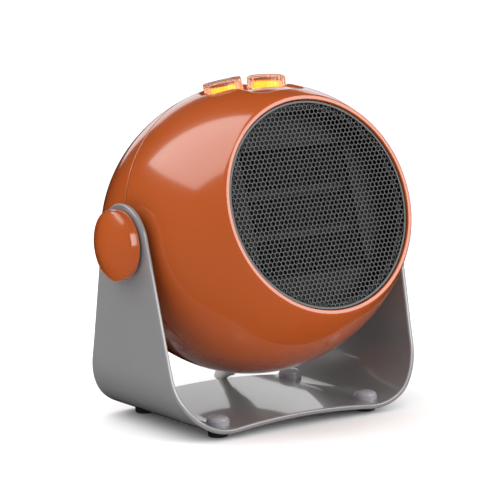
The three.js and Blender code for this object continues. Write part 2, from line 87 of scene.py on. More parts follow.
# ---------------------------------------------------------------- mesh helpers
def mesh_object(name, verts, faces, smooth=True, matrix=None):
    """verts in mm, in the space of matrix; the mesh itself ends in metres in the shared frame."""
    me = bpy.data.meshes.new(name)
    M = matrix or Matrix.Identity(4)
    co = np.array(verts, float).reshape(-1, 3)
    A = np.array(M)
    co = (co @ A[:3, :3].T + A[:3, 3]) * MM
    me.from_pydata(co.tolist(), [], [list(map(int, f)) for f in faces])
    me.validate()
    me.update()
    o = bpy.data.objects.new(name, me)
    bpy.context.scene.collection.objects.link(o)
    if smooth:
        me.polygons.foreach_set("use_smooth", [True] * len(me.polygons))
    return o


def outward(o):
    bm = bmesh.new()
    bm.from_mesh(o.data)
    bmesh.ops.remove_doubles(bm, verts=bm.verts, dist=1e-7)
    bmesh.ops.recalc_face_normals(bm, faces=bm.faces)
    bm.to_mesh(o.data)
    bm.free()
    return o


def sharp(o, deg=35.0):
    o.data.polygons.foreach_set("use_smooth", [True] * len(o.data.polygons))
    bm = bmesh.new()
    bm.from_mesh(o.data)
    lim = rad(deg)
    for e in bm.edges:
        e.smooth = not (len(e.link_faces) == 2 and e.calc_face_angle(0.0) > lim) and len(e.link_faces) == 2
    bm.to_mesh(o.data)
    bm.free()
    return o


def lathe(name, profile, axis="Z", n=96, matrix=None, closed=True, deg=35.0, wave=None):
    """profile of (radius, height) pairs turned about an axis; closed joins its last point to its first."""
    verts, ids, faces = [], [], []
    for r, h in profile:
        if r < 1e-6:
            ids.append([len(verts)] * n)
            verts.append((0.0, 0.0, h))
        else:
            ids.append(list(range(len(verts), len(verts) + n)))
            for k in range(n):
                a = 2 * math.pi * k / n
                rr = r + (wave(r, h, a) if wave else 0.0)
                verts.append((rr * math.cos(a), rr * math.sin(a), h))
    m = len(profile)
    for i in range(m if closed else m - 1):
        A, B = ids[i], ids[(i + 1) % m]
        for k in range(n):
            q = [A[k], A[(k + 1) % n], B[(k + 1) % n], B[k]]
            q = [v for j, v in enumerate(q) if v not in q[:j]]
            if len(q) > 2:
                faces.append(q)
    co = np.array(verts)
    if axis == "Y":      # height runs along -Y
        co = np.stack([co[:, 0], -co[:, 2], co[:, 1]], 1)
    elif axis == "X":
        co = np.stack([co[:, 2], co[:, 1], -co[:, 0]], 1)
    o = mesh_object(name, co, faces, matrix=matrix)
    outward(o)
    return sharp(o, deg)


def rounded(points, radii, steps=5):
    """An open or closed profile whose corners are rounded; radii has one value per point (0 keeps it sharp)."""
    out = []
    m = len(points)
    for i, (p, r) in enumerate(zip(points, radii)):
        if r <= 0:
            out.append(tuple(p))
            continue
        P = np.array(p, float)
        A = np.array(points[i - 1], float) - P
        B = np.array(points[(i + 1) % m], float) - P
        la, lb = np.linalg.norm(A), np.linalg.norm(B)
        A, B = A / la, B / lb
        ang = math.acos(max(-1, min(1, float(A @ B))))
        d = min(r / math.tan(ang / 2), la * 0.48, lb * 0.48)
        rr = d * math.tan(ang / 2)
        c = P + (A + B) / np.linalg.norm(A + B) * (rr / math.sin(ang / 2))
        s, e = P + A * d - c, P + B * d - c
        tot = math.acos(max(-1, min(1, float(s @ e) / (rr * rr))))
        sgn = 1 if s[0] * e[1] - s[1] * e[0] > 0 else -1
        for k in range(steps + 1):
            t = sgn * tot * k / steps
            out.append((c[0] + s[0] * math.cos(t) - s[1] * math.sin(t), c[1] + s[0] * math.sin(t) + s[1] * math.cos(t)))
    return out


def boolean(o, cutter, op="DIFFERENCE"):
    mod = o.modifiers.new("b", "BOOLEAN")
    mod.object, mod.operation, mod.solver = cutter, op, "EXACT"
    dg = bpy.context.evaluated_depsgraph_get()
    me = bpy.data.meshes.new_from_object(o.evaluated_get(dg))
    o.modifiers.clear()
    old = o.data
    o.data = me
    bpy.data.meshes.remove(old)
    return o


def remove(o):
    me = o.data
    bpy.data.objects.remove(o)
    bpy.data.meshes.remove(me)


def joined(name, objs):
    bm = bmesh.new()
    for o in objs:
        bm.from_mesh(o.data)
    me = bpy.data.meshes.new(name)
    bm.to_mesh(me)
    bm.free()
    for o in objs:
        remove(o)
    o = bpy.data.objects.new(name, me)
    bpy.context.scene.collection.objects.link(o)
    return o


def sweep(name, pts, radius, sides=20, caps=True):
    """A round tube along points in mm; radius is one number or one per point."""
    P = np.array(pts, float)
    R = np.full(len(P), radius, float) if np.isscalar(radius) else np.array(radius, float)
    T = np.gradient(P, axis=0)
    T /= np.linalg.norm(T, axis=1)[:, None]
    nrm = np.cross(T[0], [0, 0, 1.0])
    if np.linalg.norm(nrm) < 1e-3:
        nrm = np.array([1.0, 0, 0])
    nrm /= np.linalg.norm(nrm)
    verts, faces = [], []
    for i in range(len(P)):
        nrm = nrm - T[i] * (nrm @ T[i])
        nrm /= np.linalg.norm(nrm)
        bn = np.cross(T[i], nrm)
        for k in range(sides):
            a = 2 * math.pi * k / sides
            verts.append(P[i] + R[i] * (nrm * math.cos(a) + bn * math.sin(a)))
    for i in range(len(P) - 1):
        for k in range(sides):
            a, b = i * sides + k, i * sides + (k + 1) % sides
            faces.append((a, b, b + sides, a + sides))
    if caps:
        faces.append(tuple(range(sides))[::-1])
        faces.append(tuple((len(P) - 1) * sides + k for k in range(sides)))
    o = mesh_object(name, verts, faces)
    outward(o)
    return sharp(o, 50)


def smooth_curve(points, step):
    """Centripetal Catmull-Rom through the points, resampled evenly."""
    P = [np.array(p, float) for p in points]
    P = [2 * P[0] - P[1]] + P + [2 * P[-1] - P[-2]]
    out = []
    for i in range(1, len(P) - 2):
        p0, p1, p2, p3 = P[i - 1], P[i], P[i + 1], P[i + 2]
        t0 = 0.0
        t1 = t0 + max(np.linalg.norm(p1 - p0), 1e-9) ** 0.5
        t2 = t1 + max(np.linalg.norm(p2 - p1), 1e-9) ** 0.5
        t3 = t2 + max(np.linalg.norm(p3 - p2), 1e-9) ** 0.5
        for t in np.linspace(t1, t2, 24, endpoint=False):
            a1 = (t1 - t) / (t1 - t0) * p0 + (t - t0) / (t1 - t0) * p1
            a2 = (t2 - t) / (t2 - t1) * p1 + (t - t1) / (t2 - t1) * p2
            a3 = (t3 - t) / (t3 - t2) * p2 + (t - t2) / (t3 - t2) * p3
            b1 = (t2 - t) / (t2 - t0) * a1 + (t - t0) / (t2 - t0) * a2
            b2 = (t3 - t) / (t3 - t1) * a2 + (t - t1) / (t3 - t1) * a3
            out.append((t2 - t) / (t2 - t1) * b1 + (t - t1) / (t2 - t1) * b2)
    out.append(P[-2])
    out = np.array(out)
    s = np.concatenate([[0], np.cumsum(np.linalg.norm(np.diff(out, axis=0), axis=1))])
    n = max(2, int(round(s[-1] / step)))
    u = np.linspace(0, s[-1], n + 1)
    return np.stack([np.interp(u, s, out[:, k]) for k in range(3)], 1)


# ---------------------------------------------------------------- materials
def principled(name, color, rough=0.4, metal=0.0, **extra):
    m = bpy.data.materials.new(name)
    m.use_nodes = True
    b = m.node_tree.nodes["Principled BSDF"]
    b.inputs["Base Color"].default_value = (*color, 1.0)
    b.inputs["Roughness"].default_value = rough
    b.inputs["Metallic"].default_value = metal
    for k, v in extra.items():
        b.inputs[k.replace("_", " ")].default_value = v
    return m, b


def coords(m, scale):
    nt = m.node_tree
    tc = nt.nodes.new("ShaderNodeTexCoord")
    mp = nt.nodes.new("ShaderNodeMapping")
    mp.inputs["Scale"].default_value = scale if isinstance(scale, tuple) else (scale,) * 3
    nt.links.new(tc.outputs["Object"], mp.inputs["Vector"])
    return mp.outputs["Vector"]


def vary(m, b, color, amount, scale, rough=None, rough_amount=0.0, bump=0.0, bump_scale=None, detail=4.0):
    """Noise that moves the colour, roughness and height a little round their values."""
    nt = m.node_tree
    vec = coords(m, scale)
    noise = nt.nodes.new("ShaderNodeTexNoise")
    noise.inputs["Scale"].default_value = 1.0
    noise.inputs["Detail"].default_value = detail
    nt.links.new(vec, noise.inputs["Vector"])
    ramp = nt.nodes.new("ShaderNodeValToRGB")
    lo = tuple(max(0.0, c * (1 - amount)) for c in color)
    hi = tuple(min(1.0, c * (1 + amount)) for c in color)
    ramp.color_ramp.elements[0].position, ramp.color_ramp.elements[1].position = 0.3, 0.7
    ramp.color_ramp.elements[0].color = (*lo, 1)
    ramp.color_ramp.elements[1].color = (*hi, 1)
    nt.links.new(noise.outputs["Fac"], ramp.inputs["Fac"])
    nt.links.new(ramp.outputs["Color"], b.inputs["Base Color"])
    if rough is not None and rough_amount:
        mr = nt.nodes.new("ShaderNodeMapRange")
        mr.inputs["From Min"].default_value, mr.inputs["From Max"].default_value = 0.3, 0.7
        mr.inputs["To Min"].default_value, mr.inputs["To Max"].default_value = rough - rough_amount, rough + rough_amount
        nt.links.new(noise.outputs["Fac"], mr.inputs["Value"])
        nt.links.new(mr.outputs["Result"], b.inputs["Roughness"])
    if bump:
        vec2 = coords(m, bump_scale or scale)
        n2 = nt.nodes.new("ShaderNodeTexNoise")
        n2.inputs["Scale"].default_value = 1.0
        n2.inputs["Detail"].default_value = 3.0
        nt.links.new(vec2, n2.inputs["Vector"])
        bp = nt.nodes.new("ShaderNodeBump")
        bp.inputs["Strength"].default_value = 1.0
        bp.inputs["Distance"].default_value = bump
        nt.links.new(n2.outputs["Fac"], bp.inputs["Height"])
        nt.links.new(bp.outputs["Normal"], b.inputs["Normal"])
    return m


def make(name, color, rough=0.4, metal=0.0, amount=0.05, scale=60.0, rough_amount=0.03, bump=0.0, bump_scale=None, **extra):
    m, b = principled(name, color, rough, metal, **extra)
    return vary(m, b, color, amount, scale, rough, rough_amount, bump, bump_scale)


ORANGE = make("orange_gloss_plastic", (0.37, 0.070, 0.012), 0.22, 0.0, 0.03, 14.0, 0.02, 0.0, None,
              Coat_Weight=1.0, Coat_Roughness=0.1, Specular_IOR_Level=0.5)
GREY = make("grey_gloss_paint", (0.25, 0.245, 0.25), 0.3, 0.2, 0.015, 22.0, 0.02, 0.0, None, Coat_Weight=1.0, Coat_Roughness=0.06)
CAPS = make("cap_grey_plastic", (0.3, 0.295, 0.32), 0.26, 0.0, 0.03, 90.0, 0.03, 0.00001, 500.0, Coat_Weight=0.3, Coat_Roughness=0.15)
FOOT = make("foot_rubber", (0.016, 0.016, 0.017), 0.65, 0.0, 0.2, 220.0, 0.08, 0.00006, 900.0)
CORD = make("cord_pvc", (0.55, 0.54, 0.52), 0.4, 0.0, 0.04, 120.0, 0.04, 0.00002, 500.0)
BLACK = make("black_plastic", (0.01, 0.01, 0.011), 0.42, 0.0, 0.15, 150.0, 0.06, 0.00004, 1100.0)
MESH = make("grille_dark_enamel", (0.018, 0.018, 0.018), 0.22, 0.5, 0.1, 130.0, 0.05, 0.00002, 900.0, Coat_Weight=0.5, Coat_Roughness=0.15)
# fin aluminium painted almost black: painted shade for the fins deep inside the head, darker than the bright metal's
# own colour
SHADED_FIN_ALU = make("fin_aluminium", (0.05, 0.05, 0.052), 0.35, 1.0, 0.06, 160.0, 0.06, 0.00002, 700.0)
# heating ceramic painted dark: painted shade for the bars deep inside the head, darker than their own colour
SHADED_CERAMIC = make("heating_ceramic_painted_shade", (0.05, 0.048, 0.045), 0.7, 0.0, 0.08, 200.0, 0.05, 0.00005, 900.0)
HOLDER = make("moulded_dark_plastic", (0.04, 0.038, 0.035), 0.5, 0.0, 0.05, 140.0, 0.05, 0.00003, 800.0)
STEEL = make("zinc_plated_steel", (0.55, 0.56, 0.58), 0.32, 1.0, 0.06, 180.0, 0.06, 0.00002, 800.0)
BRASS = make("nickelled_brass", (0.66, 0.6, 0.48), 0.24, 1.0, 0.04, 200.0, 0.05, 0.00001, 900.0)
CLEAR = make("dial_clear_amber", (0.97, 0.58, 0.42), 0.06, 0.0, 0.03, 80.0, 0.01, Transmission_Weight=0.92, IOR=1.46)
CORE = make("dial_core_red", (0.16, 0.008, 0.003), 0.18, 0.0, 0.08, 120.0, 0.03, 0.00001, 600.0, Coat_Weight=0.6, Coat_Roughness=0.1)
GLOW = make("dial_light_ring", (1.0, 0.62, 0.04), 0.4, 0.0, 0.08, 140.0, 0.04, 0.00003, 500.0)
_b = GLOW.node_tree.nodes["Principled BSDF"]
_b.inputs["Emission Color"].default_value = (1.0, 0.48, 0.02, 1)
_b.inputs["Emission Strength"].default_value = 2.6


def paint(o, m):
    o.data.materials.clear()
    o.data.materials.append(m)
    return o


# ---------------------------------------------------------------- the mains lead
route = []                     # mm, tilt axis at y = 0
ex = np.array([13.0, 50.0, 18.5])
gd = np.array([1.8, 23.7, -18.3]); gd /= np.linalg.norm(gd)
# the coil: three layers of turns, the lowest entered along its outside
CX, CY, R_IN, R_OUT = 151.5, 91.0, 31.8, 38.2

d2 = np.array([0.3, 0.93, -0.2]); d2 /= np.linalg.norm(d2)
n2 = d2 - gd * (d2 @ gd); n2 /= np.linalg.norm(n2)
bend = [tuple(ex - gd + 27.5 * (math.sin(rad(a)) * gd + (1 - math.cos(rad(a))) * n2)) for a in (0, 7, 14, 21, 28.5)]
lead = [tuple(p) for p in smooth_curve([ex - gd * 6, ex - gd * 3] + bend + [(24, 78, 9.2), (34, 95, 4.4), (46, 109.5, 3.3),
                                        (63, 121, 3.3), (84, 128.5, 3.3), (108, 131, 3.3), (130.3, 130.3, 3.2), (151.5 + R_OUT * math.cos(rad(87.1)), 91 + R_OUT * math.sin(rad(87.1)), 3.2)], 3.0)]
coil_pts = []


def ring(a0, a1, r, z):
    n = max(2, int(abs(a1 - a0) / 6))
    for k in range(1, n + 1):
        a = rad(a0 + (a1 - a0) * k / n)
        coil_pts.append((CX + r * math.cos(a), CY + r * math.sin(a), z))


def crossing(kind):
    for k in range(1, 22):
        t = k / 22
        s = 2 * t * t if t < 0.5 else 1 - 2 * (1 - t) ** 2
        f = math.pi / 2 * s
        D = CORD_D
        p1 = (R_OUT - D * s, 3.2)
        p2 = (p1[0] - D * math.cos(f), 3.2 + D * math.sin(f))
        p3 = (p2[0] + D * math.sin(f), p2[1] + D * math.cos(f))
        p4 = (p3[0] + D * math.cos(f), p3[1] + D * math.sin(f))
        r, z = (p1, p2, p3, p4)[kind]
        a = rad(172 - 96 * t)
        coil_pts.append((CX + r * math.cos(a), CY + r * math.sin(a), z))


ring(87.1, -188, R_OUT, 3.2)
crossing(0)
ring(76, -188, R_IN, 3.2)
crossing(1)
ring(76, -188, R_IN, 9.6)
crossing(2)
ring(76, -188, R_OUT, 9.6)
crossing(3)
ring(76, -180, R_OUT, 16.0)
tail = [(113.3, 102, 16.0), (113.3, 113.6, 15.9), (113.6, 127, 14.4), (118, 140, 11.6), (128, 150, 9.8), (142, 155.5, 10.6), (152, 156.5, 12.4), (161.5, 156.5, 12.9)]
whole = lead + coil_pts + tail
whole = smooth_curve(whole, 3.0)
whole = whole + np.array([0, BALL_Y, 0])
cord = sweep("mains_lead", whole, CORD_D / 2, 20)
paint(cord, CORD)
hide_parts("cord_upper", "cord_lead", "cord_coil", "cord_tail")

# tapered, ribbed strain relief at the plug, riding on the last stretch of the lead
relief_pts = whole[-10:-1]
relief = sweep("plug_strain_relief", smooth_curve(relief_pts.tolist(), 0.5), 4.0, 24)
co = np.array([v.co for v in relief.data.vertices])
n_rel = len(co) // 24
rc = co.reshape(n_rel, 24, 3)
mid = rc.mean(1, keepdims=True)
t = np.linspace(0, 1, n_rel)
ribs = np.where((np.arange(n_rel) % 6) < 3, 0.35, -0.25) * (t > 0.12)
rr = (3.45 + 2.6 * t + ribs)[:, None, None]
rc = mid + (rc - mid) / 4.0 * rr / MM * MM
relief.data.vertices.foreach_set("co", rc.reshape(-1))
relief.data.update()
paint(relief, CORD)
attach(relief, "stand")


def plug_shape(name):
    """A flat-sided moulded plug body, lofted along X."""
    secs = [(160.9, 5.6, 5.6, 2.0), (163.2, 6.4, 6.3, 2.0), (166.5, 9.4, 7.8, 2.1), (170.5, 13.2, 9.6, 2.2), (175.5, 16.0, 11.2, 2.3), (181, 17.1, 12.1, 2.4),
            (187, 17.4, 12.5, 2.4), (192.5, 17.4, 12.5, 2.4), (195.6, 17.2, 12.3, 2.4), (196.8, 16.7, 11.8, 2.4), (197.3, 15.9, 11.0, 2.4)]
    n = 72
    verts, faces = [], []
    for x, hy, hz, p in secs:
        for k in range(n):
            a = 2 * math.pi * k / n
            c, s = math.cos(a), math.sin(a)
            y = hy * math.copysign(abs(c) ** (2 / p), c)
            z = hz * math.copysign(abs(s) ** (2 / p), s)
            verts.append((x, 156.5 + y, 12.9 + z))
    for i in range(len(secs) - 1):
        for k in range(n):
            a, b = i * n + k, i * n + (k + 1) % n
            faces.append((a, b, b + n, a + n))
    faces.append(tuple(range(n))[::-1])
    faces.append(tuple((len(secs) - 1) * n + k for k in range(n)))
    o = mesh_object(name, verts, faces, matrix=STAND)
    outward(o)
    sub = o.modifiers.new("s", "SUBSURF")
    sub.levels = sub.render_levels = 1
    return sharp(o, 40)


plug = plug_shape("plug_moulding")
paint(plug, BLACK)
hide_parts("plug_body")
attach(plug, "stand")
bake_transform(cord)


# ---------------------------------------------------------------- head profile
def outer_r(x):
    x = np.asarray(x, float)
    f = BALL_R * (1 - np.clip(np.abs(x) / FRONT_A, 0, 1) ** FRONT_P) ** (1 / FRONT_P)
    b = BALL_R * np.sqrt(np.clip(1 - (x / REAR_B) ** 2, 0, None))
    return np.where(x >= 0, f, b)


def inset(x, d):
    e = 0.02
    s = (outer_r(x + e) - outer_r(x - e)) / (2 * e)
    n = math.hypot(1, s)
    return float(outer_r(x) - d / n), float(x + d * s / n)


def ball_height(x, y):
    """Height of the ball's surface over the recess's own plane."""
    c, s = math.cos(rad(PANEL_DEG)), math.sin(rad(PANEL_DEG))
    lo, hi = np.full_like(x, 40.0), np.full_like(x, 118.0)
    for _ in range(46):
        z = (lo + hi) / 2
        yh, zh = y * c - z * s, y * s + z * c
        out = np.hypot(x, zh) > outer_r(-yh)
        hi = np.where(out, z, hi)
        lo = np.where(out, lo, z)
    return (lo + hi) / 2


def smoother(u):
    u = np.clip(u, 0, 1)
    return u ** 3 * (u * (6 * u - 15) + 10)


def smooth_min(a, b, k):
    h = np.clip(0.5 + 0.5 * (b - a) / k, 0, 1)
    return b + (a - b) * h - k * h * (1 - h)


def sink(o):
    """Presses the control recess into a shell: flat under the two dials, running out in a tongue toward the outlet."""
    A = np.array(PANEL.inverted())
    co = np.array([v.co for v in o.data.vertices]) / MM
    p = co @ A[:3, :3].T + A[:3, 3]
    near = (p[:, 2] > 55) & (np.hypot(p[:, 0], p[:, 1] + 25) < 75)
    q = p[near]
    x, y = q[:, 0], q[:, 1]
    zb = ball_height(x, y)
    stadium = np.hypot(np.maximum(np.abs(x) - 17.4, 0), y - PANEL_Y) - 18.5
    bx, by = np.abs(x) - (22.0 - 12.0), np.abs(y + 34.0) - (26.5 - 12.0)
    tongue = np.hypot(np.maximum(bx, 0), np.maximum(by, 0)) + np.minimum(np.maximum(bx, by), 0) - 12.0
    d = smooth_min(stadium, tongue, 6.0)
    zf = np.sqrt(np.maximum(PANEL_CROWN ** 2 - x ** 2, 1)) - PANEL_CROWN + PANEL_FLOOR
    zf = smooth_min(zf, zb - 2.0, 2.0)
    q[:, 2] -= (zb - zf) * smoother(-d / 4.5)
    p[near] = q
    B = np.array(PANEL)
    co = (p @ B[:3, :3].T + B[:3, 3] * 1.0)
    o.data.vertices.foreach_set("co", (co * MM).reshape(-1))
    o.data.update()
    return o


SEG = 480
xs = np.linspace(-1.95, RIM_X - 0.4, 96)
front_prof = [(float(outer_r(-2.25)) - 1.2, -2.2), (float(outer_r(-2.2)) - 0.32, -2.2), (float(outer_r(-2.15)) - 0.1, -2.12)] + [(float(outer_r(x)), float(x)) for x in xs]
rim_r = float(outer_r(RIM_X))
front_prof += rounded([(rim_r + 0.1, RIM_X - 0.3), (rim_r - 0.7, RIM_X + 0.75), (OUTLET_R + 0.1, RIM_X + 0.75), (OUTLET_R, 79.8), (OUTLET_R + 1.3, 79.7)], [0, 0.9, 0.5, 0, 0], 6)[1:]
front_prof += [inset(x, 2.5) for x in np.linspace(78, -1, 80)] + [(float(outer_r(-2.2)) - 2.5, -2.2)]
front = lathe("front_shell_skin", front_prof, "Y", SEG, HEAD, deg=40)
sink(front)
paint(front, ORANGE)
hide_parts("front_shell", "control_panel")
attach(front, "head")

a0, a1 = math.asin(2.95 / REAR_B), math.acos(VENT_R / BALL_R)
ang = np.linspace(a0, a1 - 0.006, 96)
rear_prof = [(float(outer_r(-2.7)) - 1.2, -2.7), (float(outer_r(-2.7)) - 0.32, -2.7), (float(outer_r(-2.75)) - 0.1, -2.78)]
rear_prof += [(BALL_R * math.cos(a), -REAR_B * math.sin(a)) for a in ang]
rear_prof += [(VENT_R + 0.1, -REAR_B * math.sin(a1) + 0.25), (VENT_R, -REAR_B * math.sin(a1) + 0.8)]
rear_prof += [inset(-REAR_B * math.sin(a), 2.5) for a in ang[::-3]] + [(float(outer_r(-2.7)) - 2.5, -2.7)]
rear = lathe("rear_shell_skin", rear_prof, "Y", SEG, HEAD, deg=40)
sink(rear)
# opening for the lead's gland
gc = sweep("gland_cutter", [tuple(np.array([11.2, 26.3 + BALL_Y, 36.8]) + gd * s) for s in (-16, 0, 12, 24, 34)], 9.3, 40)
boolean(rear, gc)
remove(gc)
sharp(rear, 40)
paint(rear, ORANGE)
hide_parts("rear_shell")
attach(rear, "head")


# ---------------------------------------------------------------- dials
for name, sx in (("selector", -1), ("thermostat", 1)):
    M = PANEL @ Matrix.Translation((sx * DIAL_X, PANEL_Y, math.sqrt(PANEL_CROWN ** 2 - DIAL_X ** 2) - PANEL_CROWN + PANEL_FLOOR)) @ Matrix.Rotation(sx * rad(DIAL_LEAN), 4, "Y")
    prof = rounded([(0, DIAL_H - 1.7), (DIAL_R - 2.2, DIAL_H - 1.7), (DIAL_R - 1.7, 0.7), (DIAL_R, 0.7), (DIAL_R - 0.2, DIAL_H), (0, DIAL_H)], [0, 0.7, 0, 0.25, 1.5, 0], 6)
    flutes = lambda r, h, a: (0.16 * math.cos(36 * a) * (1 if (r > DIAL_R - 0.9 and h > 0.6) else 0))
    d = lathe(name + "_dial_clear", prof, "Z", 288, M, closed=False, deg=50, wave=flutes)
    paint(d, CLEAR)
    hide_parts(name + "_dial")
    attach(d, name)
    prof = rounded([(0, 6.0), (3.15, 6.0), (3.15, 0.9), (5.2, 0.9), (5.2, 6.2), (10.0, 6.2), (10.0, 8.1), (0, 8.1)], [0, 0, 0, 0.3, 0.3, 0.3, 0.5, 0], 4)
    c = lathe(name + "_dial_red_core", prof, "Z", 96, M, closed=False, deg=50)
    paint(c, CORE)
    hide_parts(name + "_dial_core")
    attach(c, name)
    ribw = lambda r, h, a: (0.32 * math.cos(30 * a) if r > 9 else 0.0)
    prof = rounded([(6.0, 0.5), (9.4, 0.5), (9.4, 5.6), (6.0, 5.6)], [0.2, 0.2, 0.5, 0.2], 4)
    g = lathe(name + "_ribbed_light_ring", prof, "Z", 240, M, deg=60, wave=ribw)
    paint(g, GLOW)
    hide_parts(name + "_light_ring")
    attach(g, "head")


# ---------------------------------------------------------------- outlet guard: fine honeycomb
def honeycomb(name, pitch, wall, limit, y0, y1):
    verts, faces = [], []
    R = pitch / math.sqrt(3)
    ri = (pitch - wall) / math.sqrt(3)
    keys = {}

    def vert(x, z, y):
        k = (round(x, 3), round(z, 3), round(y, 3))
        if k not in keys:
            keys[k] = len(verts)
            verts.append((x, y, z))
        return keys[k]

    n = int(limit / pitch) + 2
    for q in range(-2 * n, 2 * n + 1):
        for r in range(-2 * n, 2 * n + 1):
            cx, cz = pitch * (q + r / 2), pitch * r * math.sqrt(3) / 2
            if math.hypot(cx, cz) > limit:
                continue
            corner = [(math.cos(rad(60 * k + 30)), math.sin(rad(60 * k + 30))) for k in range(6)]
            of = [vert(cx + R * c, cz + R * s, y0) for c, s in corner]
            inf = [vert(cx + ri * c, cz + ri * s, y0) for c, s in corner]
            ib = [vert(cx + ri * c, cz + ri * s, y1) for c, s in corner]
            ob = [vert(cx + R * c, cz + R * s, y1) for c, s in corner]
            for k in range(6):
                j = (k + 1) % 6
                faces.append((of[k], of[j], inf[j], inf[k]))
                faces.append((inf[k], inf[j], ib[j], ib[k]))
                faces.append((ob[j], ob[k], ib[k], ib[j]))
    return mesh_object(name, verts, faces, smooth=False, matrix=HEAD)


comb = honeycomb("honeycomb", 3.45, 0.42, 69.2, -82.0, -80.3)
edge = lathe("guard_edge", rounded([(68.9, 80.1), (71.0, 80.1), (71.0, 82.15), (68.9, 82.15)], [0.2, 0.2, 0.4, 0.4], 4), "Y", 240, HEAD)
guard = joined("outlet_honeycomb", [comb, edge])
paint(guard, MESH)
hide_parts("front_grille")
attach(guard, "head")

# ---------------------------------------------------------------- heater element: corrugated fins between the ceramic bars
for n, zc in enumerate((-28.8, 0.0, 28.8)):
    verts, faces = [], []
    pitch, half, y0, y1, th = 2.9, 11.9, -56.0, -44.0, 0.25
    xs_, zs_ = [], []
    x = -39.6
    side = 1
    while x < 39.6:
        for k in range(5):
            a = math.pi * k / 4
            xs_.append(x + (pitch / 4) * (1 - math.cos(a)))
            zs_.append(zc + side * (half - 0.7 + 0.7 * math.sin(a)))
        x += pitch / 2
        side = -side
    for xx, zz in zip(xs_, zs_):
        verts += [(xx, y0, zz), (xx, y1, zz)]
    for k in range(len(xs_) - 1):
        faces.append((2 * k, 2 * k + 1, 2 * k + 3, 2 * k + 2))
    fin = mesh_object("corrugated_fins_%d" % (n + 1), verts, faces, smooth=False, matrix=HEAD)
    so = fin.modifiers.new("t", "SOLIDIFY")
    so.thickness, so.offset = th * MM, 0.0
    strips = []
    for s in (-1, 1):
        v = [(-40, y0, zc + s * 12.1), (40, y0, zc + s * 12.1), (40, y1, zc + s * 12.1), (-40, y1, zc + s * 12.1),
             (-40, y0, zc + s * 11.85), (40, y0, zc + s * 11.85), (40, y1, zc + s * 11.85), (-40, y1, zc + s * 11.85)]
        f = [(0, 1, 2, 3), (4, 7, 6, 5), (0, 4, 5, 1), (1, 5, 6, 2), (2, 6, 7, 3), (3, 7, 4, 0)]
        strips.append(outward(mesh_object("strip", v, f, smooth=False, matrix=HEAD)))
    dg = bpy.context.evaluated_depsgraph_get()
    solid_fin = bpy.data.meshes.new_from_object(fin.evaluated_get(dg))
    fin.modifiers.clear()
    fin.data = solid_fin
    fin = joined("corrugated_fins_%d" % (n + 1), [fin] + strips)
    # the fins' colour carries painted shade for the dark inside of the head
    paint(fin, SHADED_FIN_ALU)
    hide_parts("heater_fins_%d" % (n + 1))
    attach(fin, "head")

# ---------------------------------------------------------------- rear intake
aG = math.acos((VENT_R - 0.3) / BALL_R)
outer_c = [(BALL_R * math.cos(a), -REAR_B * math.sin(a)) for a in np.linspace(aG, math.pi / 2, 26)]
inner_c = [(BALL_R * math.cos(a), -REAR_B * math.sin(a) + 2.6) for a in np.linspace(math.pi / 2, aG, 26)]
outer_c[-1] = (0.0, outer_c[-1][1])
inner_c[0] = (0.0, inner_c[0][1])
inner_c[-1] = (VENT_R - 0.3, inner_c[-1][1])
vent = lathe("intake_guard", outer_c + inner_c, "Y", 192, HEAD, closed=True, deg=50)
cutters = []
for k in range(-6, 7):
    z = k * 5.9
    w = math.sqrt(max(0.0, 40.5 ** 2 - z * z))
    prof = []
    for a in np.linspace(-math.pi / 2, math.pi / 2, 9):
        prof.append((w - 1.6 + 1.6 * math.cos(a), z + 1.6 * math.sin(a)))
    for a in np.linspace(math.pi / 2, 3 * math.pi / 2, 9):
        prof.append((-w + 1.6 + 1.6 * math.cos(a), z + 1.6 * math.sin(a)))
    m = len(prof)
    v = [(px, 90, pz) for px, pz in prof] + [(px, 130, pz) for px, pz in prof]
    f = [tuple(range(m)), tuple(range(2 * m - 1, m - 1, -1))] + [(i, (i + 1) % m, m + (i + 1) % m, m + i) for i in range(m)]
    cutters.append(outward(mesh_object("slot", v, f, smooth=False, matrix=HEAD)))
cutter = joined("slots", cutters)
boolean(vent, cutter)
remove(cutter)
sharp(vent, 40)
paint(vent, BLACK)
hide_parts("rear_intake_grille")
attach(vent, "head")

# ---------------------------------------------------------------- side knobs
for side, sx in (("left", -1), ("right", 1)):
    prof = rounded([(21.0, 0.0), (KNOB_R, 0.0), (KNOB_R - 0.15, KNOB_SKIRT), (KNOB_R - 0.9, KNOB_SKIRT + 0.15)], [0.0, 0.8, 0.45, 0.25], 6)
    cap_r, cap_h = KNOB_R - 1.1, KNOB_H - KNOB_SKIRT - 0.1
    cap_s = (cap_r ** 2 + cap_h ** 2) / (2 * cap_h)
    for i in range(1, 40):
        a = math.asin(cap_r / cap_s) * (1 - i / 39)
        prof.append((cap_s * math.sin(a) if i < 39 else 0.0, KNOB_H - cap_s * (1 - math.cos(a))))
    prof += [(0.0, 9.6), (3.3, 9.6), (3.3, 0.6), (7.5, 0.6), (7.5, 10.2), (13.5, 9.2), (18.8, 7.0), (20.8, 5)]
    k = lathe(side + "_domed_knob", [(r, h + KNOB_X) for r, h in prof], "X", 192, Matrix.Translation((0, BALL_Y, BALL_Z)) @ (Matrix.Scale(-1, 4, (1, 0, 0)) if sx < 0 else Matrix.Identity(4)), deg=32)
    outward(k)
    paint(k, ORANGE)
    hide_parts(side + "_clamp_knob")
    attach(k, side + "_knob")

